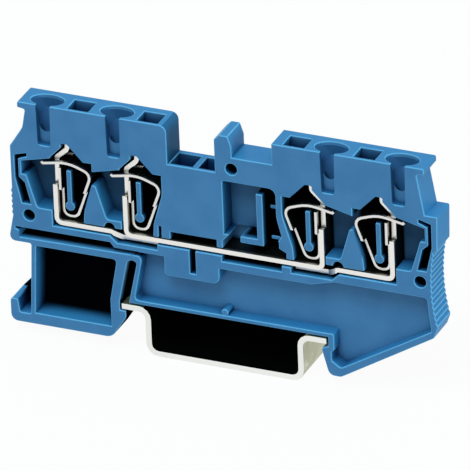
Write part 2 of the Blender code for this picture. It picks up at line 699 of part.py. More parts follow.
def cut_middle(housing):
    """The pin hole, the pocket with its rib, and the hollows beside the bar."""
    bar_top = INNER_BAR_HEIGHT + BAR_THICK / 2
    bar_low = INNER_BAR_HEIGHT - BAR_THICK / 2
    pocket(housing, disc(MID_HOLE_X, MID_HOLE_HEIGHT, PIN_HOLE / 2), POCKET_DEPTH)
    swell = MID_RIGHT + MID_SWELL
    main = filleted([
        (MID_LEFT, MID_LOW),
        (MID_RIGHT, MID_LOW),
        (swell, MID_LOW + 2 * CORNER),
        (MID_RIGHT, MID_WAIST, 8 * CORNER),
        (MID_RIGHT, MID_TOP, 2 * CORNER),
        (MID_LEFT, MID_TOP, CORNER / 2),
    ])
    pocket(housing, main, MID_DEPTH)
    behind_rib = MID_RIB_RIGHT - MID_RIB / 2
    deep = [point for point in main if point[0] > behind_rib]
    low_end = (behind_rib, MID_LOW)
    high_end = (behind_rib, MID_TOP)
    pocket(housing, [low_end] + deep + [high_end], POCKET_DEPTH)
    hollow = [
        (-PILLAR_RIGHT, bar_top),
        (-PILLAR_RIGHT, TOOTH_ROOT),
        (MID_LEFT + TOOTH, MID_LOW + CORNER / 4),
        (MID_RIGHT + CORNER / 2, MID_LOW + CORNER / 4),
        (MID_RIGHT + CORNER / 2, HOLLOW_SHOULDER + CORNER),
        (HOLLOW_RIGHT, HOLLOW_SHOULDER),
        (HOLLOW_RIGHT, bar_top),
    ]
    pocket(housing, hollow, POCKET_DEPTH)
    rib = [
        (MID_RIB_RIGHT - MID_RIB, MID_RIB_TOP),
        (MID_RIB_RIGHT - MID_RIB, MID_RIB_LOW + MID_RIB),
        (MID_RIB_LEFT, MID_RIB_LOW + MID_RIB),
        (MID_RIB_LEFT, MID_RIB_LOW),
        (MID_RIB_RIGHT, MID_RIB_LOW),
        (MID_RIB_RIGHT, MID_RIB_TOP),
    ]
    for high in (MID_STEP_HIGH, MID_STEP_LOW + MID_STEP_THICK):
        step = rectangle(MID_STEP_LEFT, MID_RIGHT + CORNER, high - MID_STEP_THICK, high)
        change(housing, slab(step, MID_STEP_FRONT, POCKET_DEPTH + BACK_WALL / 2), "UNION")
    over_left = rectangle(-LEFT_GROUP_END, -PILLAR_LEFT, bar_top, TOOTH_ROOT)
    pocket(housing, over_left, POCKET_DEPTH)
    relief = rectangle(RELIEF_X - RELIEF_WIDTH / 2, RELIEF_X + RELIEF_WIDTH / 2, bar_top, RELIEF_TOP)
    pocket(housing, relief, POCKET_DEPTH)
    under = rectangle(-RIB_LEFT + CORNER, MID_RIGHT + CORNER, bar_low - WEB_RIM - CHANNEL_GAP, bar_low)
    pocket(housing, under, POCKET_DEPTH)
    half = ANCHOR_SLIT / 2
    slit = rectangle(ANCHOR_SLIT_X - half, ANCHOR_SLIT_X + half, ANCHOR_SLIT_LOW, bar_low)
    pocket(housing, slit, POCKET_DEPTH)
    change(housing, slab(rib, MID_RIB_FRONT, POCKET_DEPTH + BACK_WALL / 2), "UNION")


def cut_bridge_shafts(housing):
    half = SHAFT_RIB / 2
    ends = (
        (-LEFT_GROUP_END + half / 2, SHAFT_RIB_X - half),
        (SHAFT_RIB_X + half, -RIB_LEFT - half / 2),
    )
    for x0, x1 in ends:
        far = BLOCK_DEPTH - SHAFT_BACK_WALL
        shaft(housing, x0, x1, SHAFT_FRONT_WALL, far, SHAFT_FLOOR, STEP_HEIGHT + PAST)


def build_housing(material):
    housing = put("housing", slab(housing_outline(), 0, BLOCK_DEPTH), material)
    pocket(housing, web_outline(), WEB_RECESS)
    bump = disc(SEAT_BUMP_X, FIT_GAP + SEAT_RIM + SEAT_BUMP - SEAT_BUMP_SINK, SEAT_BUMP)
    change(housing, slab(bump, CORNER / 3, WEB_RECESS + PAST), "UNION")
    for sign in (1, -1):
        cut_bar_channel(housing, sign)
        cut_end_grooves(housing, sign)
        for distance in (CLAMP_OUT, CLAMP_IN):
            cut_clamp(housing, -sign * distance, sign)
    cut_middle(housing)
    cut_bridge_shafts(housing)


def build_foot(material):
    pivot = (-ARCH_X, BLOCK_DEPTH / 2, HINGE_HEIGHT)
    foot = put("latch_foot", slab(foot_outline(), 0, BLOCK_DEPTH), material, pivot)
    pocket(foot, foot_box(), BLOCK_DEPTH - FOOT_BACK)
    pocket(foot, eyelet(), BLOCK_DEPTH - FOOT_BACK)


def riser_path(riser, sign, low):
    """One riser from its bent tip down to the bar's level."""
    return [
        (riser + sign * TIP_REACH, TIP_BEND_HEIGHT + TIP_RISE + TIP_LENGTH),
        (riser + sign * TIP_REACH, TIP_BEND_HEIGHT + TIP_RISE, BAR_THICK),
        (riser, TIP_BEND_HEIGHT, BAR_THICK),
        (riser, low, BAR_BEND + BAR_THICK / 2),
    ]


def narrow_tongue(bar, riser):
    """Thins the top of a riser in depth, so that it passes through the spring's window."""
    middle = METAL_RECESS + METAL_WIDTH / 2
    x0 = riser - TIP_REACH - BAR_THICK
    x1 = riser + TIP_REACH + BAR_THICK
    high = TIP_BEND_HEIGHT + TIP_RISE + TIP_LENGTH + PAST
    sides = ((-PAST, middle - TONGUE_WIDTH / 2), (middle + TONGUE_WIDTH / 2, BLOCK_DEPTH))
    for near, far in sides:
        change(bar, slab(rectangle(x0, x1, TONGUE_HEIGHT, high), near, far), "DIFFERENCE")


def build_outer_bar(name, side, material):
    """A riser and a bar that steps down to a tail under the inner bar."""
    sign = -side
    riser = side * CLAMP_OUT
    step = side * (CLAMP_IN + BAR_TAIL / 2)
    tail_end = side * (CLAMP_IN - BAR_TAIL)
    tail_start = side * (CLAMP_IN + CORNER)
    path = riser_path(riser, sign, OUTER_BAR_HEIGHT)
    path += [
        (step, OUTER_BAR_HEIGHT, BAR_THICK),
        (tail_start + side * CORNER / 2, TAIL_HEIGHT, BAR_THICK),
        (tail_end, TAIL_HEIGHT),
    ]
    outline = strip_outline(filleted(path, closed=False), BAR_THICK)
    bar = put(name, slab(outline, METAL_RECESS, METAL_RECESS + METAL_WIDTH), material)
    narrow_tongue(bar, riser)
    set_back = METAL_RECESS + TAIL_SET_BACK
    past_end = tail_end - side * PAST
    front_cut = [(step, 0), (tail_start, set_back), (past_end, set_back), (past_end, -PAST), (step, -PAST)]
    change(bar, plan_slab(front_cut, TAIL_HEIGHT - BAR_THICK, OUTER_BAR_HEIGHT + BAR_THICK), "DIFFERENCE")


def build_inner_bar(material):
    """Two risers joined by the bar that carries the current across the block."""
    left = riser_path(-CLAMP_IN, 1, INNER_BAR_HEIGHT)
    right = riser_path(CLAMP_IN, -1, INNER_BAR_HEIGHT)[::-1]
    outline = strip_outline(filleted(left + right, closed=False), BAR_THICK)
    bar = put("inner_current_bar", slab(outline, METAL_RECESS, METAL_RECESS + METAL_WIDTH), material)
    for riser in (-CLAMP_IN, CLAMP_IN):
        narrow_tongue(bar, riser)


def spring_corners():
    """The strip's middle line in clamp terms: the moving clamp leg, then the fixed leg."""
    end_height = SPRING_TOP - SPRING_END_DROP
    clamp = [
        (-SPRING_END - SPRING_LIP, end_height + SPRING_LIP),
        (-SPRING_END, end_height),
        (SPRING_CROWN, SPRING_TOP, SPRING_CROWN_RADIUS),
        (SPRING_BACK, SPRING_TOP - SPRING_BACK_DROP, SPRING_BACK_RADIUS),
    ]
    loop = [
        (SPRING_LOOP_RIGHT, SPRING_LOOP_LOW, SPRING_LOOP_RADIUS),
        (SPRING_LOOP_LEFT, SPRING_LOOP_LOW, SPRING_LOOP_RADIUS),
        (SPRING_LOOP_LEFT, SPRING_SHORT_TOP),
    ]
    back_top = Vector(clamp[-1][:2])
    back_low = Vector(loop[0][:2])
    along = (back_low - back_top).normalized()
    split = back_low - along * SPRING_LOOP_RADIUS
    clamp_end = split - along * SPRING_SPLIT_GAP / 2
    fixed_start = split + along * SPRING_SPLIT_GAP / 2
    return clamp + [clamp_end[:]], [fixed_start[:]] + loop


def build_spring(number, riser, sign, drop, material):
    """One clamp spring, as low as its bar: a fixed leg, and a clamp leg that turns about the loop."""
    clamp, fixed = spring_corners()
    near = METAL_RECESS
    far = METAL_RECESS + METAL_WIDTH
    loop_middle = riser + sign * (SPRING_LOOP_LEFT + SPRING_LOOP_RADIUS)
    pivot = (loop_middle, (near + far) / 2, SPRING_LOOP_LOW + SPRING_LOOP_RADIUS - drop)
    for name, corners in (("fixed_leg", fixed), ("clamp_leg", clamp)):
        outline = strip_outline(filleted(corners, closed=False), STRIP)
        placed = [(riser + sign * u, h - drop) for u, h in outline]
        moving = name == "clamp_leg"
        origin = pivot if moving else (0, 0, 0)
        leg = put(f"spring_{number}_{name}", slab(placed, near, far), material, origin)
        across = sorted((riser - sign * PAST, riser + sign * (SPRING_BACK + PAST)))
        lower = rectangle(*across, POCKET_LOW - drop, SPRING_NARROW_TOP - drop)
        change(leg, slab(lower, -PAST, near + SPRING_SET_BACK), "DIFFERENCE")
        if not moving:
            continue
        window_out = riser - sign * (BAR_THICK / 2 + FIT_GAP)
        ends = sorted((window_out, riser + sign * WINDOW_IN))
        top = SPRING_TOP - drop
        hole = rectangle(*ends, top - 3 * STRIP, top + 3 * STRIP)
        change(leg, slab(hole, near + SPRING_SIDE_RAIL, far - SPRING_SIDE_RAIL), "DIFFERENCE")


def build_rail(material):
    """The top-hat rail: two lips, two walls and a base, bent from one sheet."""
    half = RAIL_WIDTH / 2
    wall = HAT_WIDTH / 2 - RAIL_SHEET / 2
    lip = -RAIL_SHEET / 2
    base = -RAIL_HEIGHT + RAIL_SHEET / 2
    bend = RAIL_BEND + RAIL_SHEET / 2
    path = [
        (-half, lip),
        (-wall, lip, bend),
        (-wall, base, bend),
        (wall, base, bend),
        (wall, lip, bend),
        (half, lip),
    ]
    outline = strip_outline(filleted(path, closed=False), RAIL_SHEET)
    rail = put("din_rail", slab(outline, 0, RAIL_LENGTH), material)
    rail.location.x = 0


def main():
    clear_scene()
    blue = plain_material("blue_polyamide", (0.06, 0.20, 0.40), 0.45, 0)
    copper = plain_material("tinned_copper", (0.78, 0.76, 0.72), 0.35, 1)
    steel = plain_material("spring_steel", (0.72, 0.71, 0.68), 0.30, 1)
    zinc = plain_material("zinc_plated_steel", (0.70, 0.70, 0.66), 0.40, 1)
    build_housing(blue)
    build_foot(blue)
    build_outer_bar("left_outer_current_bar", -1, copper)
    build_inner_bar(copper)
    build_outer_bar("right_outer_current_bar", 1, copper)
    lower = OUTER_BAR_HEIGHT - INNER_BAR_HEIGHT
    clamps = ((-CLAMP_OUT, 1, 0), (-CLAMP_IN, 1, lower), (CLAMP_IN, -1, lower), (CLAMP_OUT, -1, 0))
    for number, (riser, sign, drop) in enumerate(clamps, 1):
        build_spring(number, riser, sign, drop, steel)
    build_rail(zinc)


main()
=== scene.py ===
import json
import math
import bmesh
import bpy
from mathutils import Matrix, Vector
from mathutils.bvhtree import BVHTree


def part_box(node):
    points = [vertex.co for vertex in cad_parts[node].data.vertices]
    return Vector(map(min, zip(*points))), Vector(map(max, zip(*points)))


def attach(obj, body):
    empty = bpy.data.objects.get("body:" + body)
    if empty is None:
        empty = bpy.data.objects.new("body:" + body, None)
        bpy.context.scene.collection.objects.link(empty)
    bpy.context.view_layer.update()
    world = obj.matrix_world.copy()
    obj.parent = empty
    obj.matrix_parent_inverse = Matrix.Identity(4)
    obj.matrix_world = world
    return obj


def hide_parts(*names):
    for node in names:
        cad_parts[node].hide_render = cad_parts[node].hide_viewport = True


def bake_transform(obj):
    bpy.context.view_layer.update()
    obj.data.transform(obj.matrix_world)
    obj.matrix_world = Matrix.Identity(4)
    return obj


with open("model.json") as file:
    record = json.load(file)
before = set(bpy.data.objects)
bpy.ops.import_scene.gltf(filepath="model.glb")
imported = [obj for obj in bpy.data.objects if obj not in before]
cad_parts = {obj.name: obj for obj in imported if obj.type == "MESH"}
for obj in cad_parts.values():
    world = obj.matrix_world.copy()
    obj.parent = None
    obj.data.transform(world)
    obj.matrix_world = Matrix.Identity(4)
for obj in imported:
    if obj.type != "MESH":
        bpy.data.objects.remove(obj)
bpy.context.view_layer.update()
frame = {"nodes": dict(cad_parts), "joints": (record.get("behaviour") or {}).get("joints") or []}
print("frame loaded:", len(frame["nodes"]), "nodes")

houseLow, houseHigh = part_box("housing")
railLow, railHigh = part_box("din_rail")
joints = {joint["name"]: joint for joint in frame["joints"]}


# shader maths: a Field is one socket, and sums on Fields add Math nodes
class Field:
    def __init__(self, shader, socket):
        self.shader = shader
        self.socket = socket

    def maths(self, operation, first, second):
        return self.shader.node("ShaderNodeMath", {"operation": operation}, {0: first, 1: second})

    def __add__(self, other):
        return self.maths("ADD", self, other)

    def __radd__(self, other):
        return self.maths("ADD", other, self)

    def __sub__(self, other):
        return self.maths("SUBTRACT", self, other)

    def __rsub__(self, other):
        return self.maths("SUBTRACT", other, self)

    def __mul__(self, other):
        return self.maths("MULTIPLY", self, other)

    def __rmul__(self, other):
        return self.maths("MULTIPLY", other, self)

    def __abs__(self):
        return self.maths("ABSOLUTE", self, 0.0)

    def larger(self, other):
        return self.maths("MAXIMUM", self, other)


# the node tree of a finish or of the sky
class Shader:
    def __init__(self, tree):
        self.tree = tree

    # any node: its type, its settings, then the values or links of its sockets
    def node(self, kind, settings=None, inputs=None, output=0):
        made = self.tree.nodes.new(kind)
        for key, value in (settings or {}).items():
            setattr(made, key, value)
        for key, value in (inputs or {}).items():
            self.feed(made.inputs[key], value)
        return Field(self, made.outputs[output])

    def feed(self, socket, value):
        if isinstance(value, Field):
            self.tree.links.new(value.socket, socket)
        else:
            socket.default_value = value

    def axis(self, vector, name):
        return self.node("ShaderNodeSeparateXYZ", None, {0: vector}, name)

    def noise(self, spot, scale, detail):
        inputs = {"Vector": spot, "Scale": scale, "Detail": detail}
        return self.node("ShaderNodeTexNoise", None, inputs, "Fac")

    def mark(self, name):
        return self.node("ShaderNodeAttribute", {"attribute_name": name}, None, "Fac")

    def fade(self, value, start, end):
        return self.node("ShaderNodeMapRange", {"interpolation_type": "SMOOTHSTEP"},
                         {"Value": value, "From Min": start, "From Max": end}, "Result")

    def blendColour(self, share, first, second):
        return self.node("ShaderNodeMix", {"data_type": "RGBA"}, {0: share, 6: first, 7: second}, 2)

    # 1 for the rays that show the white backdrop, 0 for those that only light the object
    def backdropRays(self):
        kinds = ("Is Camera Ray", "Is Glossy Ray", "Is Transmission Ray")
        eye, mirrored, through = [self.node("ShaderNodeLightPath", output=kind) for kind in kinds]
        return eye.larger(mirrored).larger(through)


class Finish(Shader):
    def __init__(self, name):
        self.material = bpy.data.materials.new(name)
        self.material.use_nodes = True
        super().__init__(self.material.node_tree)
        self.surface = self.tree.nodes["Principled BSDF"]

    def coat(self, inputs):
        for name, value in inputs.items():
            self.feed(self.surface.inputs[name], value)

    # another shader takes over where the share is 1
    def cover(self, share, other):
        coated = Field(self, self.surface.outputs[0])
        mixed = self.node("ShaderNodeMixShader", None, {0: share, 1: coated, 2: other})
        self.feed(self.tree.nodes["Material Output"].inputs["Surface"], mixed)

    # painted shade: a matt dark coat takes over where the share is 1
    def paintShade(self, share, colour):
        matt = {"Base Color": colour, "Roughness": 1.0, "Specular IOR Level": 0.0}
        self.cover(share, self.node("ShaderNodeBsdfPrincipled", None, matt))


def srgb(red, green, blue):
    # a screen colour, 0 to 255, as the linear colour that Blender mixes
    def linear(level):
        share = level / 255
        return share / 12.92 if share <= 0.04045 else ((share + 0.055) / 1.055) ** 2.4
    return (linear(red), linear(green), linear(blue), 1)


# blue polyamide of the housing and the foot; some colours here are painted light: a more saturated tint on
# tops and sides, lighter eased edges, and navy to near-black painted shade in the hollows and funnels
polyamide = {
    "colour": srgb(70, 119, 164),
    "cloud": srgb(64, 113, 158),
    "cloudScale": 220,
    "cloudFade": (0.35, 0.7),
    # painted light: the tint of tops and sides
    "across": srgb(36, 120, 172),
    "acrossShare": 0.6,
    # painted highlight along the eased edges
    "rim": srgb(104, 172, 216),
    "rimShare": 0.65,
    # painted shade in the hollows, by ambient occlusion
    "hollow": srgb(8, 34, 78),
    "hollowReach": 0.010,
    "hollowFade": (0.10, 0.60),
    "hollowSamples": 12,
    # painted shade inside the funnel bores and their necks
    "funnel": srgb(34, 78, 120),
    "neck": srgb(60, 105, 154),
    # painted shade: the near-black of deep pockets
    "deep": (0.001, 0.001, 0.002, 1),
    "roughness": 0.44,
    "roughnessSpread": 0.12,
    "gloss": 0.1,
    "grainScale": 7000,
    "grainStrength": 0.10,
    "grainDepth": 0.00003,
}

# painted shade: how deep behind the open face the hollows are painted black, and reaches beside a clamp or a
# corner
chambers = {
    "fades": {"recess": (0.0032, 0.0040), "pit": (0.0002, 0.0016), "gap": (0.0002, 0.0016),
              "box": (0.0012, 0.0044)},
    "clampFade": (0.0028, 0.0035),
    "clampReach": (0.0032, 0.0048),
    "clampLean": 0.0010,
    "cornerSpot": (0.0018, 0.0234),
    "cornerReach": (0.0014, 0.0026),
}


def pocketCorner(finish, spot):
    # the lower corner of the middle pocket gets light from above
    corner = finish.mark("pit")
    for axis, middle in zip("XZ", chambers["cornerSpot"]):
        off = finish.fade(abs(finish.axis(spot, axis) - middle), *chambers["cornerReach"])
        corner = corner * (1 - off)
    return corner


def hollowShade(finish, spot):
    # painted shade: the chamber floor is painted blackest behind the four clamps, which stand in two
    # mirrored pairs
    places = sorted(joints[f"clamp_{number}_flex"]["pos_m"][0] for number in range(1, 5))
    outerLeft, innerLeft, innerRight, outerRight = places
    pairPlace = (outerRight + innerRight - innerLeft - outerLeft) / 4 - chambers["clampLean"]
    pairHalf = (outerRight - innerRight + innerLeft - outerLeft) / 4
    pair = abs(abs(finish.axis(spot, "X") - (outerLeft + outerRight) / 2) - pairPlace)
    near = 1 - finish.fade(abs(pair - pairHalf), *chambers["clampReach"])
    depth = finish.axis(spot, "Y") - houseLow.y
    behind = finish.fade(depth, *chambers["clampFade"])
    dark = finish.mark("shade").larger(finish.mark("recess") * near * behind)
    for name, depths in chambers["fades"].items():
        dark = dark.larger(finish.mark(name) * finish.fade(depth, *depths))
    return dark


def makePolyamide():
    finish = Finish("bluePolyamide")
    spot = finish.node("ShaderNodeTexCoord", output="Object")
    mottle = finish.noise(spot, polyamide["cloudScale"], detail=5)
    grain = finish.noise(spot, polyamide["grainScale"], detail=2)
    flow = finish.fade(mottle, *polyamide["cloudFade"])
    plain = finish.blendColour(flow, polyamide["colour"], polyamide["cloud"])
    # painted light: walls that run across the depth, such as the tops and the ends, are painted a more
    # saturated blue than the open face, standing in for how the light falls on them
    facing = finish.axis(finish.node("ShaderNodeNewGeometry", output="Normal"), "Y")
    sideLightMix = (1 - abs(facing)) * polyamide["acrossShare"]
    sideLitTone = finish.blendColour(sideLightMix, plain, polyamide["across"])
    # painted highlight: the eased edge faces are painted a lighter blue
    eased = finish.blendColour(finish.mark("rim") * polyamide["rimShare"], sideLitTone, polyamide["rim"])
    # painted shade: ambient occlusion darkens the hollows towards navy
    view = finish.node("ShaderNodeAmbientOcclusion",
                       {"samples": polyamide["hollowSamples"], "only_local": True},
                       {"Distance": polyamide["hollowReach"]}, "AO")
    unshadedShare = finish.fade(view, *polyamide["hollowFade"])
    tone = finish.blendColour(unshadedShare, polyamide["hollow"], eased)
    # painted shade: the funnel bores are painted a fixed dark navy and their necks a mid blue
    for name in ("funnel", "neck"):
        tone = finish.blendColour(finish.mark(name), tone, polyamide[name])
    corner = pocketCorner(finish, spot)
    tone = finish.blendColour(corner, tone, polyamide["colour"])
    bump = finish.node("ShaderNodeBump", None, {"Height": grain, "Strength": polyamide["grainStrength"],
                                                "Distance": polyamide["grainDepth"]})
    rough = polyamide["roughness"] + (mottle - 0.5) * polyamide["roughnessSpread"]
    finish.coat({"Base Color": tone, "Roughness": rough, "Specular IOR Level": polyamide["gloss"],
                 "Normal": bump})
    # painted shade: the deep pockets, slits and shaded sides are painted near-black
    finish.paintShade(hollowShade(finish, spot) * (1 - corner), polyamide["deep"])
    return finish.material


# metals: tinned bars, spring steel, zinc-plated rail; painted shade: rolled faces are painted dark behind
# the front edges
metals = {
    "tinnedCopper": {"colour": srgb(238, 236, 232), "dull": srgb(206, 196, 184), "roughness": 0.36},
    "springSteel": {"colour": srgb(226, 225, 223), "dull": srgb(200, 198, 190), "roughness": 0.26},
    "zincSteel": {"colour": srgb(238, 238, 234), "dull": srgb(178, 180, 152), "roughness": 0.40},
}
rolledFaces = {
    "cloudScale": 700,
    "cloudFade": (0.0, 0.5),
    "roughnessSpread": 0.12,
    "dark": (0.001, 0.001, 0.001, 1),
    "darkShare": 0.88,
    "darkFade": (0.0003, 0.0010),
    "railFade": (0.013, 0.020),
}


def makeMetal(name):
    values = metals[name]
    finish = Finish(name)
    spot = finish.node("ShaderNodeTexCoord", output="Object")
    cloud = finish.noise(spot, rolledFaces["cloudScale"], detail=4)
    rolled = 1 - finish.mark("cut")
    tint = rolled * finish.fade(cloud, *rolledFaces["cloudFade"])
    tone = finish.blendColour(tint, values["colour"], values["dull"])
    across = finish.axis(spot, "Y")
    # painted shade: the rail's inside is painted black near the front, fading to zinc towards the back; the
    # other metals' rolled faces are painted dark behind the front edge
    if name == "zincSteel":
        light = finish.fade(across - railLow.y, *rolledFaces["railFade"])
        dark = finish.mark("inside") * (1 - light)
    else:
        dark = rolled * rolledFaces["darkShare"] * finish.fade(across - houseLow.y, *rolledFaces["darkFade"])
    rough = values["roughness"] + (cloud - 0.5) * rolledFaces["roughnessSpread"]
    finish.coat({"Base Color": tone, "Metallic": 1.0, "Roughness": rough})
    finish.paintShade(dark, rolledFaces["dark"])
    return finish.material


finishes = {name: makeMetal(name) for name in metals}
finishes["bluePolyamide"] = makePolyamide()
print("finishes made:", sorted(finishes))


# the CAD shapes are dressed: merged, flat stretches joined, sharp outer edges eased
dressing = {
    "mergeGap": 1e-6,
    "flatAngle": 0.3,
    "sharpAngle": 40,
    "smoothAngle": 25,
    "plasticEase": 0.00014,
    "metalEase": 0.00005,
    "railEase": 0.00012,
    "easeTries": 12,
    "tightReach": 2.5,  # in widths of the eased edge
    "foldShare": 1.02,
    "foldArea": 5e-9,
    "tiny": 1e-12,
    "square": 0.9,  # least part of a normal along an axis that a face is square to
    "leaning": 0.5,  # the same for a face that only leans that way
}


def mergedCopy(node):
    bm = bmesh.new()
    bm.from_mesh(frame["nodes"][node].data)
    bmesh.ops.remove_doubles(bm, verts=bm.verts, dist=dressing["mergeGap"])
    flat = math.radians(dressing["flatAngle"])
    bmesh.ops.dissolve_limit(bm, angle_limit=flat, verts=bm.verts, edges=bm.edges)
    return bm


def triangles(bm):
    # each triangle's face, middle and area
    for loops in bm.calc_loop_triangles():
        first, second, third = [loop.vert.co for loop in loops]
        area = (second - first).cross(third - first).length / 2
        yield loops[0].face, (first + second + third) / 3, area


def foldedFaces(bm):
    # faces whose outline crosses itself: their triangles cover more than their area
    bm.faces.index_update()
    cover = [0.0] * len(bm.faces)
    for face, middle, area in triangles(bm):
        cover[face.index] += area
    share, spare = dressing["foldShare"], dressing["foldArea"]
    return [face for face in bm.faces if cover[face.index] > face.calc_area() * share + spare]


def touches(ends, spots, reach):
    return all(min((spot - end).length for spot in spots) < reach for end in ends)


def easedCopy(node, width, prepare=None):
    # bevels the outward sharp edges and marks the new faces as rim; edges too tight for it stay sharp
    limit = math.radians(dressing["sharpAngle"])
    tight = set()
    for triesLeft in reversed(range(dressing["easeTries"])):
        bm = mergedCopy(node)
        keepSharp = prepare(bm) if prepare else ()
        rim = bm.faces.layers.float.new("rim")
        bm.edges.index_update()
        sharp = []
        for edge in bm.edges:
            if edge.calc_face_angle_signed(0) > limit and edge.index not in tight and edge not in keepSharp:
                sharp.append(edge)
        ends = {edge.index: [vert.co.copy() for vert in edge.verts] for edge in sharp}
        made = bmesh.ops.bevel(bm, geom=sharp, offset=width, offset_type="OFFSET", segments=2, profile=0.5,
                               affect="EDGES", material=-1, clamp_overlap=False, loop_slide=False)
        for face in made["faces"]:
            face[rim] = 1
        folded = foldedFaces(bm)
        if not folded or not triesLeft:
            return bm
        for face in folded:
            spots = [vert.co for vert in face.verts]
            reach = dressing["tightReach"] * width
            tight.update(index for index, pair in ends.items() if touches(pair, spots, reach))
        bm.free()


def smoothCurves(bm):
    # only the facets of curved walls shade into each other
    limit = math.radians(dressing["smoothAngle"])
    rim = bm.faces.layers.float.get("rim")
    for edge in bm.edges:
        eased = rim and any(face[rim] for face in edge.link_faces)
        edge.smooth = not eased and edge.calc_face_angle(math.pi) < limit
    for face in bm.faces:
        face.smooth = True


def addPiece(name, bm, finish):
    smoothCurves(bm)
    mesh = bpy.data.meshes.new(name)
    bm.to_mesh(mesh)
    bm.free()
    piece = bpy.data.objects.new(name, mesh)
    bpy.context.scene.collection.objects.link(piece)
    mesh.materials.append(finishes[finish])
    return piece


# what counts as a hollow of the mouldings
hollows = {
    "seamReach": 0.0003,
    "slitWidth": 0.0018,
    "pitDepth": 0.0041,
    "neckDepth": 0.0013,
    "funnelDepth": 0.0090,
    "seenLeast": 0.02,  # shares of a face's area
    "most": 0.5,
    "coneSlope": 0.15,  # upward parts of a normal
    "neckSlope": 0.25,
}
above = Vector((0, 0, 1))
towardsFront = Vector((0, -1, 0))


def lookAround(bm, trees):
    # the shares of each face's area that face a wall across a slit, and that are open to the front
    bm.faces.index_update()
    whole = [dressing["tiny"]] * len(bm.faces)
    close = [0.0] * len(bm.faces)
    seen = [0.0] * len(bm.faces)
    for face, middle, area in triangles(bm):
        start = middle + face.normal * dressing["plasticEase"] / 2
        whole[face.index] += area
        if any(tree.ray_cast(start, face.normal, hollows["slitWidth"])[0] is not None for tree in trees):
            close[face.index] += area
        if trees[0].ray_cast(start, towardsFront)[0] is None:
            seen[face.index] += area
    return [(slit / area, front / area) for slit, front, area in zip(close, seen, whole)]


def backOutline(bm, back):
    reach = 3 * dressing["plasticEase"]
    outline = []
    for edge in bm.edges:
        if all(vert.co.y > back - reach for vert in edge.verts):
            outline.append([vert.co.xz for vert in edge.verts])
    return outline


def onOutline(spot, outline):
    reach = 2 * dressing["plasticEase"]
    for first, second in outline:
        along = second - first
        share = (spot - first).dot(along) / max(along.length_squared, dressing["tiny"])
        nearest = first + along * min(max(share, 0), 1)
        if (spot - nearest).length < reach:
            return True
    return False


def joinedToCones(bore):
    # the bore's faces that hang together with the cones of the funnels
    joined = {vert for face in bore if face.normal.z > hollows["coneSlope"] for vert in face.verts}
    grown = True
    while grown:
        grown = False
        for face in bore:
            if not joined.isdisjoint(face.verts) and not joined.issuperset(face.verts):
                joined.update(face.verts)
                grown = True
    return [face for face in bore if joined.issuperset(face.verts)]


def markHollows(bm, others, inner):
    # masks for painted shade. inner: faces open to the front; pit: those that reach the back wall; gap:
    # walls of narrow slits;
    # funnel and neck: the conductor funnels, which are open to the top as well
    hollow = bm.faces.layers.float.new(inner)
    pit = bm.faces.layers.float.new("pit")
    gap = bm.faces.layers.float.new("gap")
    funnel = bm.faces.layers.float.new("funnel")
    neck = bm.faces.layers.float.new("neck")
    square, leaning, most = dressing["square"], dressing["leaning"], hollows["most"]
    trees = [BVHTree.FromBMesh(other) for other in others]
    shares = lookAround(bm, trees)
    back = max(vert.co.y for vert in bm.verts)
    front = min(vert.co.y for vert in bm.verts)
    outline = backOutline(bm, back)
    bore = []
    for face in bm.faces:
        middle = face.calc_center_median()
        upright = abs(face.normal.y) < leaning
        slit, seen = shares[face.index]
        start = middle + face.normal * dressing["plasticEase"] / 2
        skyward = middle.z > houseHigh.z - hollows["funnelDepth"] and all(
            tree.ray_cast(start, above)[0] is None for tree in trees)
        sunk = middle.y > front + hollows["neckDepth"] or face.normal.y > -square
        if skyward and sunk and max(face.normal.yz) < square and not onOutline(middle.xz, outline):
            bore.append(face)
        if skyward or seen < hollows["seenLeast"]:
            continue
        face[gap] = upright and slit > most and seen > most
        if face.normal.y > leaning or middle.y > back - hollows["seamReach"]:
            continue
        if upright and onOutline(middle.xz, outline):
            continue
        face[hollow] = 1
        deep = max(vert.co.y for vert in face.verts) > front + hollows["pitDepth"]
        face[pit] = deep and inner == "recess"
    for face in joinedToCones(bore):
        deep = face.calc_center_median().y > front + hollows["neckDepth"]
        face[neck] = deep and face.normal.z <= hollows["neckSlope"]
        face[funnel] = not face[neck]


# sides that face right and lie in shadow: the foot's under the rail lip, the left group's over the ledge
shadows = {
    "underLip": {"left": railLow.x - 0.0015, "right": 0, "low": -1, "high": railHigh.z, "share": 1.0},
    "leftGroup": {"left": -0.0100, "right": -0.0075, "low": railHigh.z + 0.0262, "high": 1, "share": 0.45},
    "frontTurn": -0.3,  # a side that turns further to the front stays lit
}


def shadeSides(bm, name):
    values = shadows[name]
    shade = bm.faces.layers.float.new("shade")
    for face in bm.faces:
        spot = face.calc_center_median()
        inside = values["left"] < spot.x < values["right"] and values["low"] < spot.z < values["high"]
        if inside and face.normal.x > dressing["leaning"] and face.normal.y > shadows["frontTurn"]:
            face[shade] = values["share"]


# the foot is moulded onto the block at the arch crown and at the hairpin, so both splits are closed
flexSpots = {"crown": Vector(joints["foot_flex"]["pos_m"]), "hairpin": Vector((-0.0346, -0.0074, 0.0169))}


def endFace(bm, spot):
    across = [face for face in bm.faces if abs(face.normal.x) > dressing["square"]]
    return min(across, key=lambda face: (face.calc_center_median() - spot).length)


def flexEdges(bm):
    return {edge for spot in flexSpots.values() for edge in endFace(bm, spot).edges}


def drawHairpin(foot, shell):
    # the arm's end is drawn out to meet the block
    spot = flexSpots["hairpin"]
    kept = flexEdges(foot)
    end = endFace(foot, spot)
    reach = endFace(shell, spot).calc_center_median().x - end.calc_center_median().x
    bmesh.ops.translate(foot, vec=(reach, 0, 0), verts=end.verts)
    return kept


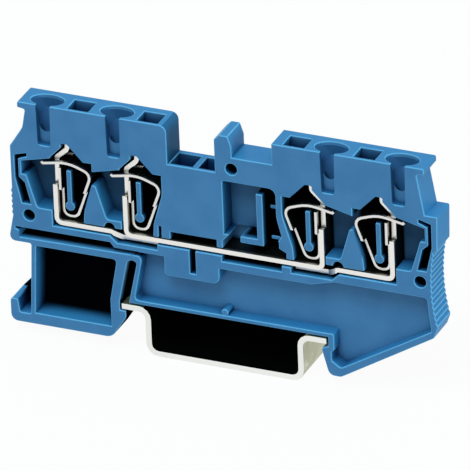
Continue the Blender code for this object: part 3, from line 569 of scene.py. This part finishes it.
def makeCrown(shell, foot):
    # a short filler between the two end faces of the arch
    footEnd = endFace(foot, flexSpots["crown"])
    blockEnd = endFace(shell, flexSpots["crown"]).calc_center_median()
    reach = Vector((blockEnd.x - footEnd.calc_center_median().x, 0, 0))
    bm = bmesh.new()
    outline = bm.faces.new([bm.verts.new(vert.co) for vert in footEnd.verts])
    made = bmesh.ops.extrude_face_region(bm, geom=[outline])
    moved = [item for item in made["geom"] if isinstance(item, bmesh.types.BMVert)]
    bmesh.ops.translate(bm, vec=reach, verts=moved)
    bmesh.ops.recalc_face_normals(bm, faces=bm.faces)
    # painted shade: the filler's top is marked as a slit wall, so it is painted dark like the slit
    gap = bm.faces.layers.float.new("gap")
    for face in bm.faces:
        face[gap] = face.normal.z > dressing["leaning"]
    piece = addPiece("crownFlex", bm, "bluePolyamide")
    blockEnd - reach
    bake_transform(piece)


def makeArm(foot):
    # the thin arm left of the foot's box becomes a piece of its own
    walls = [face for face in foot.faces if face.normal.x < -dressing["square"]]
    wall = max(walls, key=lambda face: face.calc_area()).calc_center_median()
    cut = Vector((wall.x - 2 * dressing["plasticEase"], wall.y, wall.z))
    bmesh.ops.bisect_plane(foot, geom=foot.verts[:] + foot.edges[:] + foot.faces[:],
                           dist=dressing["mergeGap"], plane_co=cut, plane_no=(1, 0, 0))
    arm = foot.copy()
    for bm, keepArm in ((foot, False), (arm, True)):
        others = []
        for face in bm.faces:
            spot = face.calc_center_median()
            onArm = spot.x < cut.x and spot.z > cut.z
            if onArm != keepArm:
                others.append(face)
        bmesh.ops.delete(bm, geom=others, context="FACES")
    piece = addPiece("hairpinArm", arm, "bluePolyamide")
    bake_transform(piece)


# housing and foot, the two blue mouldings
def makeMouldings():
    shell = easedCopy("housing", dressing["plasticEase"], flexEdges)
    foot = easedCopy("latch_foot", dressing["plasticEase"], lambda bm: drawHairpin(bm, shell))
    makeCrown(shell, foot)
    markHollows(shell, (shell, foot), "recess")
    markHollows(foot, (foot, shell), "box")
    shadeSides(foot, "underLip")
    shadeSides(shell, "leftGroup")
    makeArm(foot)
    for name, bm, body, node in (("housingShell", shell, "block", "housing"),
                                 ("sprungFoot", foot, "foot", "latch_foot")):
        piece = addPiece(name, bm, "bluePolyamide")
        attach(piece, body)
        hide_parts(node)


# metal pieces: sheared front and back edges are marked as cut
def markCut(bm):
    cut = bm.faces.layers.float.new("cut")
    for face in bm.faces:
        if abs(face.normal.y) > dressing["leaning"]:
            face[cut] = 1


def makeBar(node):
    bm = easedCopy(node, dressing["metalEase"])
    markCut(bm)
    piece = addPiece(node + "_tinned", bm, "tinnedCopper")
    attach(piece, "block")
    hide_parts(node)


# places on a clamp spring's loop, outward of its joint
springBend = {
    "start": 0.0004,
    "end": 0.0014,
    "opposed": -0.99,  # most that the dot product of two facing normals may be
}


def facingEnds(fixed, clamp):
    # the two end faces, one on each leg, that look at each other across the split
    pairs = []
    for one in fixed.faces:
        for two in clamp.faces:
            if one.normal.dot(two.normal) < springBend["opposed"]:
                pairs.append((one.calc_center_median(), two.calc_center_median()))
    return min(pairs, key=lambda pair: (pair[0] - pair[1]).length)


def nearestFace(bm, spot):
    return min(bm.faces, key=lambda face: (face.calc_center_median() - spot).length)


def makeSpring(number):
    body = f"clamp_{number}"
    fixed = mergedCopy(f"spring_{number}_fixed_leg")
    clamp = mergedCopy(f"spring_{number}_clamp_leg")
    fixedEnd, clampEnd = facingEnds(fixed, clamp)
    fixed.free()
    clamp.free()

    # the loop's end is drawn out to meet the clamp leg, and both meeting edges stay sharp
    def drawOut(bm):
        end = nearestFace(bm, fixedEnd)
        bmesh.ops.translate(bm, vec=clampEnd - fixedEnd, verts=end.verts)
        return set(end.edges)

    fixed = easedCopy(f"spring_{number}_fixed_leg", dressing["metalEase"], drawOut)
    clamp = easedCopy(f"spring_{number}_clamp_leg", dressing["metalEase"],
                      lambda bm: set(nearestFace(bm, clampEnd).edges))
    markCut(fixed)
    markCut(clamp)
    moving = addPiece(f"clampLeg{number}", clamp, "springSteel")
    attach(moving, body)
    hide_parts(f"spring_{number}_clamp_leg")
    still = addPiece(f"springLoop{number}", fixed, "springSteel")
    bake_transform(still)
    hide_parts(f"spring_{number}_fixed_leg")


# the rail's inside, which gets painted shade: its base, and its walls below the lips
railInside = {"inward": 0.2, "underLip": 0.0001, "baseHigh": 0.003}


def makeRail():
    bm = easedCopy("din_rail", dressing["railEase"])
    markCut(bm)
    inside = bm.faces.layers.float.new("inside")
    for face in bm.faces:
        middle = face.calc_center_median()
        inward = face.normal.x * middle.x < -railInside["inward"] * abs(middle.x)
        wall = inward and middle.z < railHigh.z - railInside["underLip"]
        base = face.normal.z > dressing["leaning"] and middle.z < railInside["baseHigh"]
        if abs(face.normal.y) < dressing["leaning"] and (wall or base):
            face[inside] = 1
    piece = addPiece("topHatRail", bm, "zincSteel")
    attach(piece, "rail")
    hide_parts("din_rail")


makeMouldings()
for node in ("left_outer_current_bar", "inner_current_bar", "right_outer_current_bar"):
    makeBar(node)
for number in range(1, 5):
    makeSpring(number)
makeRail()
print("pieces dressed")


# white sweep, two soft lamps and the camera at the photograph's angle; turns are in degrees
studio = {
    "floorHalf": 3.0,
    "floorColour": (0.6, 0.6, 0.6, 1),
    "floorRoughness": 0.9,
    "floorGlow": 0.95,
    "white": (1, 1, 1, 1),
    "skyStrength": 0.60,
    "keyStrength": 2.2,
    "keyColour": (0.62, 1.0, 1.05),
    "keyTurn": (28, 0, 4),
    "keyAngle": 30,
    "sideStrength": 1.2,
    "sideColour": (0.62, 1.0, 1.05),
    "sideTurn": (83, 0, 86),
    "sideAngle": 16,
}
camera = {
    "aim": (-0.00126, -0.00148, 0.01927),
    "azimuth": 24.293,
    "elevation": 28.130,
    "roll": -2.327,
    "distance": 2.002,
    "lens": 976.4,
    "sensor": 36,
    "clipEnd": 20,
}


def makeFloor():
    bm = bmesh.new()
    bmesh.ops.create_grid(bm, x_segments=1, y_segments=1, size=studio["floorHalf"])
    mesh = bpy.data.meshes.new("paleFloor")
    bm.to_mesh(mesh)
    bm.free()
    floor = bpy.data.objects.new("paleFloor", mesh)
    bpy.context.scene.collection.objects.link(floor)
    finish = Finish("whiteSweep")
    finish.coat({"Base Color": studio["floorColour"], "Roughness": studio["floorRoughness"]})
    glow = finish.node("ShaderNodeEmission", None, {"Color": studio["white"], "Strength": 1.0})
    finish.cover(finish.backdropRays() * studio["floorGlow"], glow)
    mesh.materials.append(finish.material)


def makeSky():
    world = bpy.data.worlds.new("studioSky")
    bpy.context.scene.world = world
    world.use_nodes = True
    sky = Shader(world.node_tree)
    light = sky.tree.nodes["Background"]
    sky.feed(light.inputs["Color"], studio["white"])
    strength = studio["skyStrength"] + sky.backdropRays() * (1 - studio["skyStrength"])
    sky.feed(light.inputs["Strength"], strength)


def makeLight(name):
    lamp = bpy.data.lights.new(name + "Light", "SUN")
    lamp.color = studio[name + "Colour"]
    lamp.energy = studio[name + "Strength"]
    lamp.angle = math.radians(studio[name + "Angle"])
    sun = bpy.data.objects.new(name + "Light", lamp)
    sun.rotation_euler = [math.radians(turn) for turn in studio[name + "Turn"]]
    bpy.context.scene.collection.objects.link(sun)


def makeCamera():
    lens = bpy.data.cameras.new("photoCamera")
    lens.lens = camera["lens"]
    lens.sensor_width = camera["sensor"]
    lens.clip_end = camera["clipEnd"]
    eye = bpy.data.objects.new("photoCamera", lens)
    turn = Matrix.Identity(3)
    for angle, axis in ((camera["azimuth"], "Z"), (90 - camera["elevation"], "X"), (camera["roll"], "Z")):
        turn = turn @ Matrix.Rotation(math.radians(angle), 3, axis)
    place = Vector(camera["aim"]) + turn.col[2] * camera["distance"]
    eye.matrix_world = Matrix.Translation(place) @ turn.to_4x4()
    bpy.context.scene.collection.objects.link(eye)
    bpy.context.scene.camera = eye


makeFloor()
makeSky()
makeLight("key")
makeLight("side")
makeCamera()
bpy.context.scene.view_settings.view_transform = "Standard"
print("studio ready")
